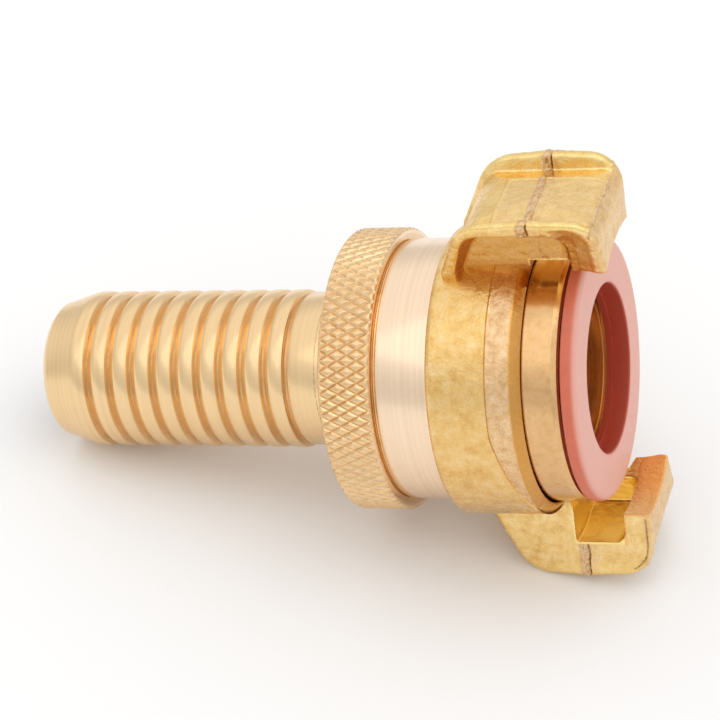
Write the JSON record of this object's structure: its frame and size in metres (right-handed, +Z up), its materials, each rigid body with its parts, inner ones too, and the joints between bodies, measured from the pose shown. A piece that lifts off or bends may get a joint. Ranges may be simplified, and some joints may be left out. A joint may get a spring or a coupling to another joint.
{
  "type": "claw hose coupling",
  "caption": "Quick claw hose coupling: barbed hose tail swivelling in a forged claw body, with a knurled clamping ring and a flat form seal.",
  "frame": {"origin": "centre of the footprint, on the surface the coupling lies on", "axes": "+X forward along the fitting towards the sealing face, which points about 15 degrees up; +Y to the left of it; +Z up"},
  "size_m": [0.0884, 0.0388, 0.0573],
  "materials": {
    "forged_brass": "as forged, shot blasted",
    "turned_brass": "turned, bright",
    "seal": "moulded, matt",
    "spring_steel": "plain"
  },
  "bodies": {
    "claw_body": {"claw_body": "forged_brass"},
    "retainer": {"retaining_ring": "spring_steel"},
    "ring": {"clamping_ring": "turned_brass"},
    "tail": {"hose_tail": "turned_brass", "seal_ring": "seal"}
  },
  "joints": [
    {"name": "clamp_travel", "type": "slide", "parent": "claw_body", "child": "retainer", "axis": [0.9641, 0, 0.2656], "range_m": [-0.0015, 0.0015]},
    {"name": "ring_turn", "type": "hinge", "parent": "retainer", "child": "ring", "pos_m": [0.00484, 0, 0.0221], "axis": [0.9641, 0, 0.2656], "range_deg": [-360, 360]},
    {"name": "tail_swivel", "type": "hinge", "parent": "retainer", "child": "tail", "pos_m": [0.00484, 0, 0.0221], "axis": [0.9641, 0, 0.2656], "continuous": true}
  ],
  "couplings": [
    {"joint": "clamp_travel", "follows": "ring_turn", "m_per_rad": 0.00023873}
  ]
}
